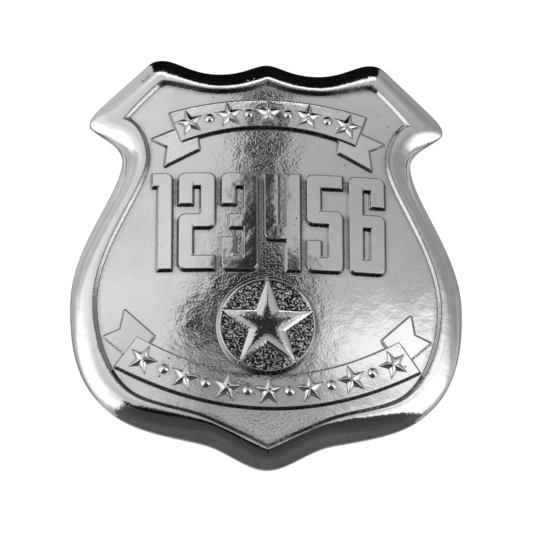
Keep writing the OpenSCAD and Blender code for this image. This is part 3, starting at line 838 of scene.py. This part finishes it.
def build(name, verts, faces, node, slot_name, material, normals=None, marks={}):
    """A smooth piece: used points only, doubles and collapsed faces left out. A point whose given normal is zero
    keeps the mesh's own."""
    key = np.round(verts * 2e4).astype(np.int64)
    _, first, inverse = np.unique(key, axis=0, return_index=True, return_inverse=True)
    faces = inverse.reshape(-1)[faces]
    faces = faces[(faces != np.roll(faces, 1, axis=1)).all(1)]
    used, faces = np.unique(faces, return_inverse=True)
    at = first[used]
    piece = new_object(name, verts[at], faces.reshape(-1, 3).tolist(), material,
                       {mark: values[at] for mark, values in marks.items()})
    mesh = piece.data
    mesh.validate()
    mesh.polygons.foreach_set("use_smooth", np.ones(len(mesh.polygons), bool))
    mesh.update()
    if normals is not None:
        own = np.empty(len(at) * 3, np.float32)
        mesh.vertex_normals.foreach_get("vector", own)
        known = length(normals[at])[:, None] > 0.5
        mesh.normals_split_custom_set_from_vertices(np.where(known, normals[at], own.reshape(-1, 3)).tolist())
    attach(piece, "root")
    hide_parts(node)


def shaded_side(p, form, beyond, strengths, step=0.01):
    """Painted shade on a form's side, set by the way the side faces. It is 1 on the side and bell(distance, beyond)
    past the foot, times the
    strength for the way the side faces: down, right, left or up, mixed with the squares of that way's two parts."""
    past = form.past_foot(p)
    way_x, way_y = (np.clip((form.past_foot(p + q) - past) / step, -1, 1) for q in ([step, 0], [0, step]))
    share = bell(np.maximum(past, 0), beyond) * bell(np.minimum(past + form.wide, 0), 0.04)
    down, right, left, up = strengths
    return share * (np.where(way_y < 0, down, up) * way_y ** 2 + np.where(way_x > 0, right, left) * way_x ** 2)


def surface_marks(points, at_back):
    """Marks from 0 to 1 for each point of the casting: how grainy it is, how much painted shade it gets in a corner, on
    a side, on the rim's step or at the outline's edge, whether it is the pitted ground of the star, and whether it
    belongs to the hollow back."""
    front = at_back < 0.5
    p = points[front, :2]
    forms = face_forms()
    inner = INNER[single(INNER)]
    depth = -to_polygon(p, inner) - STEP_WIDE
    digits = np.max([f.height(p) for f in forms[DIGITS]], axis=0) / RELIEF
    ribbons = held(np.max([f.height(p) for f in forms[RIBBONS]], axis=0) / 0.4)
    on_star = held(forms[STAR_AT].height(p) / STAR_WALL)
    ground = held((RING_RADIUS - length(p - DISC)) / 0.3)
    grain = FIELD_GRAIN + sum(more * bell(p[:, 0] - x, wide) * bell(p[:, 1] - y, high)
                              for more, x, y, wide, high in GRAIN_SPOTS)
    for share, value in ((ground, GROUND_GRAIN), (on_star, STAR_GRAIN), (ribbons, RIBBON_GRAIN),
                         (digits, DIGIT_GRAIN)):
        grain = grain + (value - grain) * share

    # Painted shade on the sides and feet of the raised work, only where no higher form covers them.
    heights = np.array([f.height(p) for f in forms[SHADED]])
    second, top = np.sort(heights, axis=0)[-2:]
    shown = held(1 - (np.where(heights < top, top, second) - heights) / 0.1)
    looks = [(0.12, DIGIT_SIDES)] * 6 + [(0.09, RIBBON_SIDES)] * 6 + [(0.10, RING_SIDES)]
    sides = [share * np.maximum(shaded_side(p, f, *look), 0.6 * bell(f.past_foot(p) - 0.01, 0.05))
             for share, f, look in zip(shown, forms[SHADED], looks)]
    sides += [0.8 * bell(f.past_foot(p) - 0.01, 0.07) for f in [forms[STAR_AT]] + forms[RING_AT + 1:]]
    # Painted shade in the gaps between the digits, stronger towards their top.
    between = np.sort([f.past_foot(p) for f in forms[DIGITS]], axis=0)[1]
    sides.append(held(1.5 - between / 0.6) * (digits < 0.5) * (0.6 + 0.35 * held((p[:, 1] - 4) / 6)))

    # The step: painted shade, darkest where it faces down, light on its two slanted walls.
    on_step = np.flatnonzero(np.abs(depth + STEP_WIDE / 2) < STEP_WIDE)
    up = to_polygon(p[on_step] + [0, 0.05], inner) + depth[on_step] + STEP_WIDE
    up = np.clip(up / 0.05, -1, 1)
    slanted = held((up - 0.4) / 0.2) * held((0.9 - up) / 0.1) * (np.abs(p[on_step, 0]) > 10)
    wall = np.zeros(len(p))
    wall[on_step] = held(2 - 2 * np.abs(depth[on_step] + STEP_WIDE / 2) / STEP_WIDE)
    wall[on_step] *= np.maximum(0.1 + 0.9 * held(up) ** 4 + 0.4 * (1 - up ** 2) ** 2, 0.2 * slanted)
    step = np.max([wall, bell(depth, 0.08), 0.9 * bell(depth + STEP_WIDE - 0.03, 0.08)], axis=0)
    step[on_step] *= 1 - 0.85 * slanted * (p[on_step, 0] > 0)

    # Painted shade along the outline's edge, where it faces a side.
    at_edge = np.flatnonzero(depth < -3.0)
    inside = -to_polygon(p[at_edge], OUTER)
    turned = np.abs(to_polygon(p[at_edge] + [0.02, 0], OUTER) + inside) / 0.02
    edge = np.zeros(len(p))
    edge[at_edge] = 0.75 * bell(inside, 0.13) * held(1.8 * turned - 0.5)

    marks = {name: np.zeros(len(points)) for name in ("grain", "painted_shade", "ground")}
    marks["grain"][front] = RIM_GRAIN + (grain - RIM_GRAIN) * held(depth / 0.3 + 1)
    marks["painted_shade"][front] = np.max([np.max(sides, axis=0) * (depth > 0), step, edge], axis=0)
    marks["ground"][front] = ground * (1 - on_star)
    return {**marks, "hollow": at_back}


# ---- surface effects shared by the finishes

def node(tree, kind, inputs=(), **settings):
    """A node with its settings made and its inputs set: a number or colour is set, a socket is linked."""
    made = tree.nodes.new("ShaderNode" + kind)
    for key, value in settings.items():
        setattr(made, key, value)
    for key, value in dict(inputs).items():
        if isinstance(value, bpy.types.NodeSocket):
            tree.links.new(value, made.inputs[key])
        else:
            made.inputs[key].default_value = value
    return made


def new_group(name, inputs, output):
    """A node group with named number inputs and one output: its tree, the inputs to read and the output to fill."""
    tree = bpy.data.node_groups.new(name, "ShaderNodeTree")
    for key, value in inputs.items():
        tree.interface.new_socket(name=key, in_out="INPUT", socket_type="NodeSocketFloat").default_value = value
    tree.interface.new_socket(name=output, in_out="OUTPUT", socket_type="NodeSocketFloat")
    return tree, tree.nodes.new("NodeGroupInput").outputs, tree.nodes.new("NodeGroupOutput").inputs[output]


def placed(tree, group, inputs):
    """The outputs of a node group that is placed in a tree, with its inputs set or linked."""
    return node(tree, "Group", inputs, node_tree=bpy.data.node_groups[group]).outputs


def maths(tree, operation, *values, clamp=False):
    """The output of one Math node."""
    return node(tree, "Math", dict(enumerate(values)), operation=operation, use_clamp=clamp).outputs[0]


def eased(tree, value, low, high, to_low=0.0, to_high=1.0):
    """A value carried softly from one range to another."""
    return node(tree, "MapRange", {"Value": value, "From Min": low, "From Max": high, "To Min": to_low,
                                   "To Max": to_high}, interpolation_type="SMOOTHSTEP").outputs[0]


def blend(tree, share, a, b, kind="RGBA"):
    """Colours or numbers mixed by a share: a where it is 0 and b where it is 1."""
    mix = node(tree, "Mix", {"Factor": share, "A": a, "B": b}, data_type=kind)
    return mix.outputs[2 if kind == "RGBA" else 0]


def noise(tree, place, scale, detail=2.0):
    """A cloudy noise around 0.5, finer with its scale and rougher with its detail."""
    return node(tree, "TexNoise", {"Vector": place, "Scale": scale, "Detail": detail}).outputs[0]


def own_place(tree):
    """Object coordinates."""
    return tree.nodes.new("ShaderNodeTexCoord").outputs["Object"]


def bare_metal(name):
    """A new material of metal: itself, its tree and its shader's inputs."""
    mat = bpy.data.materials.new(name)
    mat.use_nodes = True
    shader = mat.node_tree.nodes["Principled BSDF"].inputs
    shader["Metallic"].default_value = 1.0
    return mat, mat.node_tree, shader


def grain_group():
    """Cast grain: small round lumps of a fine noise, 0.55 * eased(fine), plus 0.15 of one 2.5 times as wide."""
    tree, got, out = new_group("cast_grain", {"Scale": 3500.0}, "Height")
    place = own_place(tree)
    fine = noise(tree, place, got["Scale"], 1.0)
    wide = noise(tree, place, maths(tree, "MULTIPLY", got["Scale"], 0.4), 1.0)
    pebbles = eased(tree, fine, 0.36, 0.62, 0.0, 0.55)
    tree.links.new(maths(tree, "ADD", pebbles, maths(tree, "MULTIPLY", wide, 0.15)), out)


def pits_group():
    """Small pits and specks: the cores of scattered cells, only where a slow noise lets them be."""
    tree, got, out = new_group("small_pits", {"Scale": 700.0}, "Pits")
    place = own_place(tree)
    cells = node(tree, "TexVoronoi", {"Vector": place, "Scale": got["Scale"]}).outputs["Distance"]
    some = noise(tree, place, maths(tree, "MULTIPLY", got["Scale"], 0.3))
    tree.links.new(maths(tree, "MULTIPLY", eased(tree, cells, 0.16, 0.06), eased(tree, some, 0.58, 0.66)), out)


def chrome_material():
    """Bright plating over a cast surface: its grain, slow waves, pits, painted shade in corners and on sides, dark
    patches on the star's ground and a duller hollow.
    """
    mat, tree, shader = bare_metal("chrome_plated_casting")
    marks = {name: node(tree, "Attribute", attribute_name=name).outputs["Fac"]
             for name in ("grain", "painted_shade", "ground", "hollow")}
    grain = placed(tree, "cast_grain", {"Scale": 2600.0})["Height"]
    pits = placed(tree, "small_pits", {})["Pits"]
    place = own_place(tree)
    waves, patchy_noise, worn = noise(tree, place, 350.0), noise(tree, place, 3000.0, 3.0), noise(tree, place, 160.0, 4.0)

    low = node(tree, "Bump", {"Height": waves, "Strength": 1.0, "Distance": 0.00005}).outputs[0]
    rough_cast = maths(tree, "ADD", marks["grain"], maths(tree, "MULTIPLY", marks["hollow"], 1.5))
    strength = maths(tree, "ADD", rough_cast, 0.02, clamp=True)
    bump = node(tree, "Bump", {"Height": grain, "Strength": strength, "Distance": 0.00006, "Normal": low}).outputs[0]
    pitted = node(tree, "Bump", {"Height": pits, "Strength": 0.6, "Distance": 0.00004, "Normal": bump}, invert=True)
    tree.links.new(pitted.outputs[0], shader["Normal"])

    # Painted shade from its mark, made patchy by a noise, joined by dark patches on the star's ground and dark specks
    # at the pits; all of it also roughens the plating.
    shade_and_spots = maths(tree, "MULTIPLY", marks["painted_shade"], eased(tree, patchy_noise, 0.3, 0.55, 0.6, 1.0))
    for part in (maths(tree, "MULTIPLY", marks["ground"], eased(tree, patchy_noise, 0.40, 0.52)),
                 maths(tree, "MULTIPLY", pits, 0.7)):
        shade_and_spots = maths(tree, "MAXIMUM", shade_and_spots, part)
    bright = blend(tree, eased(tree, worn, 0.3, 0.7), (0.84, 0.84, 0.84, 1), (0.89, 0.89, 0.89, 1))
    tree.links.new(blend(tree, shade_and_spots, bright, (0.02, 0.02, 0.02, 1)), shader["Base Color"])
    shine = maths(tree, "ADD", eased(tree, worn, 0.3, 0.75, 0.07, 0.12), maths(tree, "MULTIPLY", shade_and_spots, 0.3))
    tree.links.new(maths(tree, "ADD", shine, maths(tree, "MULTIPLY", marks["hollow"], 0.25)), shader["Roughness"])
    return mat


def steel_material():
    """Nickelled steel of the pin: fine brush lines along it, small pits and duller, worn patches."""
    mat, tree, shader = bare_metal("nickelled_steel")
    place = own_place(tree)
    drawn = node(tree, "VectorMath", {0: place, 1: (0.04, 1.0, 1.0)}, operation="MULTIPLY").outputs[0]
    lines, worn = noise(tree, drawn, 5000.0, 3.0), noise(tree, place, 450.0, 4.0)
    pits = placed(tree, "small_pits", {})["Pits"]
    brushed = node(tree, "Bump", {"Height": lines, "Strength": 0.5, "Distance": 0.00003}).outputs[0]
    pitted = node(tree, "Bump", {"Height": pits, "Strength": 0.6, "Distance": 0.00004, "Normal": brushed}, invert=True)
    tree.links.new(pitted.outputs[0], shader["Normal"])
    tone = blend(tree, eased(tree, worn, 0.3, 0.7), (0.52, 0.52, 0.54, 1), (0.66, 0.66, 0.68, 1))
    tree.links.new(tone, shader["Base Color"])
    dull = maths(tree, "ADD", eased(tree, worn, 0.3, 0.75, 0.36, 0.22), maths(tree, "MULTIPLY", lines, 0.1))
    tree.links.new(dull, shader["Roughness"])
    return mat


# ---- the studio

# Soft panels among the directions, flattened as X = x / (1 + z), Y = y / (1 + z), so the horizon is the circle of
# radius 1: middle x, y, half width, half height, turn in degrees, softness, light in the middle of the sky and how
# much is added to it at the horizon. Later ones stand in front.
BASE_LIGHT = 0.48
PANELS = [
    (-1.03, 0.60, 1.00, 1.10, 0, 0.05, 0.56, 0),
    (-0.26, 0.26, 0.22, 0.20, 0, 0.08, 0.72, 0),
    (1.18, 1.10, 0.90, 0.98, 0, 0.08, 0.32, 0),
    (-1.25, 0.0, 0.30, 0.45, 0, 0.20, 0.36, 0),
    (-0.60, -0.17, 0.24, 0.34, 0, 0.20, 1.5, 0),
    (0.02, -0.04, 0.12, 0.08, 0, 0.04, 0.38, 0),
    (0.21, 0.08, 0.09, 0.03, 10, 0.03, 1.1, 0),
    (0.52, -0.23, 0.33, 0.25, -20, 0.11, 1.4, 0),
    (-0.028, 0.082, 0.06, 0.05, 33, 0.008, 0.29, 0),
    (0.028, 0.112, 0.065, 0.056, 0, 0.015, 0.015, 0),
    (-0.050, 0.107, 0.036, 0.021, 31, 0.004, 0.002, 0),
    (0.026, 0.26, 0.028, 0.16, -4, 0.012, 0.02, 0),
    (0.0, 0.47, 0.18, 0.045, 0, 0.02, 1.3, 0),
    (0.0, 0.80, 0.25, 0.28, 0, 0.015, 0.004, 0),
    (-0.27, 0.85, 0.10, 0.28, 20, 0.015, 0.004, 0),
    (0.27, 0.85, 0.10, 0.28, -20, 0.015, 0.004, 0),
    (-0.3135, -0.9985, 0.80, 0.50, -132, 0.015, 0.04, 0.055),
    (0.488, -0.949, 0.80, 0.50, -35, 0.015, 0.035, 0.065),
    (-0.12, -0.21, 0.17, 0.06, 0, 0.008, 0.004, 0),
    (0.035, -0.36, 0.035, 0.15, 0, 0.02, 0.008, 0),
]


def panel_group():
    """How a soft-edged panel covers what lies behind it: both sides' distances, turned to its own axes, are eased."""
    names = ("X", "Y", "Middle X", "Middle Y", "Half X", "Half Y", "Turn", "Soft", "Behind", "Light")
    tree, got, out = new_group("soft_panel", dict.fromkeys(names, 0.0), "Light")
    dx, dy = (maths(tree, "SUBTRACT", got[axis], got["Middle " + axis]) for axis in "XY")
    c, s = maths(tree, "COSINE", got["Turn"]), maths(tree, "SINE", got["Turn"])
    along = maths(tree, "ADD", maths(tree, "MULTIPLY", dx, c), maths(tree, "MULTIPLY", dy, s))
    across = maths(tree, "SUBTRACT", maths(tree, "MULTIPLY", dy, c), maths(tree, "MULTIPLY", dx, s))
    masks = []
    for away, half in ((along, got["Half X"]), (across, got["Half Y"])):
        past = maths(tree, "SUBTRACT", maths(tree, "ABSOLUTE", away), half)
        masks.append(eased(tree, past, got["Soft"], maths(tree, "MULTIPLY", got["Soft"], -1.0)))
    tree.links.new(blend(tree, maths(tree, "MULTIPLY", *masks), got["Behind"], got["Light"], "FLOAT"), out)


def studio_group():
    """The light that comes from each direction: all panels, one in front of the other, and a little uneven."""
    tree, got, out = new_group("studio_light", {"X": 0.0, "Y": 0.0}, "Light")
    light = BASE_LIGHT
    far = maths(tree, "ADD", maths(tree, "POWER", got["X"], 2.0), maths(tree, "POWER", got["Y"], 2.0))
    for *row, turn, soft, value, rise in PANELS:
        if rise:
            value = maths(tree, "ADD", maths(tree, "MULTIPLY", far, rise), value)
        sizes = dict(zip(("Middle X", "Middle Y", "Half X", "Half Y"), row))
        light = placed(tree, "soft_panel", {"X": got["X"], "Y": got["Y"], "Turn": math.radians(turn), "Soft": soft,
                                            "Behind": light, "Light": value, **sizes})["Light"]
    spot = node(tree, "CombineXYZ", {"X": got["X"], "Y": got["Y"]}).outputs[0]
    cloud = noise(tree, spot, 6.0, 3.0)
    tree.links.new(maths(tree, "MULTIPLY", light, eased(tree, cloud, 0.3, 0.7, 0.88, 1.12)), out)


def floor_material():
    """Pale floor, lit evenly from below as a light table is, with a matt top. The plating mirrors it as the light at
    the horizon behind it, but close to the badge never darker than a middling tone."""
    mat = bpy.data.materials.new("pale_floor")
    mat.use_nodes = True
    tree = mat.node_tree
    tree.nodes.clear()
    way = node(tree, "SeparateXYZ", {0: node(tree, "Attribute", attribute_name="way").outputs["Vector"]}).outputs
    close = node(tree, "Attribute", attribute_name="close").outputs["Fac"]
    tone = maths(tree, "MAXIMUM", placed(tree, "studio_light", {"X": way["X"], "Y": way["Y"]})["Light"],
                 maths(tree, "MULTIPLY", close, 0.36))
    pale = node(tree, "AddShader", {0: node(tree, "BsdfDiffuse", {"Color": (0.25, 0.25, 0.25, 1)}).outputs[0],
                                    1: node(tree, "Emission", {"Strength": 0.78}).outputs[0]})
    mirrored = node(tree, "Emission", {"Color": (1, 1, 1, 1), "Strength": tone})
    mix = node(tree, "MixShader", {0: tree.nodes.new("ShaderNodeLightPath").outputs["Is Glossy Ray"],
                                   1: pale.outputs[0], 2: mirrored.outputs[0]})
    node(tree, "OutputMaterial", {"Surface": mix.outputs[0]})
    return mat


def make_studio():
    """World light by direction, one wide softbox for the floor alone, and the floor."""
    world = bpy.data.worlds.new("soft_studio")
    bpy.context.scene.world = world
    world.use_nodes = True
    tree = world.node_tree
    tree.nodes.clear()
    way = node(tree, "SeparateXYZ", {0: tree.nodes.new("ShaderNodeTexCoord").outputs["Generated"]}).outputs
    up = maths(tree, "ADD", maths(tree, "MAXIMUM", way[2], 0.0), 1.0)
    light = placed(tree, "studio_light", {axis: maths(tree, "DIVIDE", way[axis], up) for axis in "XY"})["Light"]
    seen = tree.nodes.new("ShaderNodeLightPath").outputs["Is Camera Ray"]
    back = node(tree, "Background", {"Color": (1, 1, 1, 1), "Strength": blend(tree, seen, light, 0.9, "FLOAT")})
    node(tree, "OutputWorld", {"Surface": back.outputs[0]})

    lamp = bpy.data.lights.new("wide_softbox", "AREA")
    lamp.shape, lamp.size, lamp.energy = "DISK", 1.6, 22.0
    softbox = bpy.data.objects.new("wide_softbox", lamp)
    softbox.location = (0, 0, 1.5)
    softbox.visible_glossy = False
    bpy.context.scene.collection.objects.link(softbox)
    floor = make_floor(floor_material())


def make_floor(material):
    """A flat round floor of rings, (r cos a, r sin a), finest around the badge's outline and a hair under its rim.
    The mark "close" falls from 1 at the outline to 0 at 1.2 mm from it. The mark "way" is the level direction of
    light that the badge mirrors there: square to the outline and a little up nearby, away from the middle far off."""
    radii = np.concatenate([[0.02], np.arange(20.0, 42.0, 0.5), [50, 80, 200, 1000, 4000]])
    count = 480
    flat = (radii[:, None, None] * polar(1.0, np.arange(count) * 360.0 / count)).reshape(-1, 2)
    away = to_polygon(flat, OUTER)
    slope = np.stack([to_polygon(flat + q, OUTER) - away for q in ([0.05, 0], [0, 0.05])], -1) / 0.05
    nearby = held(1.2 - np.abs(away) / 15)[:, None]
    way = unit(nearby * unit(slope + [0.08, 0.355]) + (1 - nearby) * unit(flat))
    return new_object("floor", np.column_stack([flat, np.full(len(flat), FLOOR_Z)]),
                      ring_faces(len(radii), count).tolist() + [list(range(count))], material,
                      {"close": held(1 - away / 1.2), "way": np.column_stack([way, np.zeros(len(way))])})


def camera():
    """A long lens 0.6 m from the badge, 18.5 degrees towards its lower end and 4 degrees to its left."""
    left, down = math.radians(4.0), math.radians(18.5)
    back = Vector((-math.sin(left) * math.cos(down), -math.sin(down), math.cos(left) * math.cos(down)))
    up = (Vector((0, 1, 0)) - back * back.y).normalized()
    right = up.cross(back)
    aim = (Vector((-0.10, -0.96, 2.0)) - right * 0.016 - up * 0.081) * METRE
    data = bpy.data.cameras.new("photo_view")
    data.sensor_width, data.lens = 36.0, 250.4
    data.clip_start, data.clip_end = 0.05, 20.0
    cam = bpy.data.objects.new("photo_view", data)
    turned = Matrix((right, up, back)).transposed().to_4x4()
    cam.matrix_world = Matrix.Translation(aim + back * 0.6) @ turned
    bpy.context.scene.collection.objects.link(cam)
    bpy.context.scene.camera = cam
    bpy.context.scene.view_settings.view_transform = "Standard"
    bpy.context.scene.cycles.use_denoising = False


for group in (grain_group, pits_group, panel_group, studio_group):
    group()
verts, faces, normals, at_back = casting_mesh()
build("casting", verts, faces, "shield", "casting", chrome_material(), normals, surface_marks(verts, at_back))
build("pin", *pin_mesh(), "back_pin", "pin", steel_material())
make_studio()
camera()
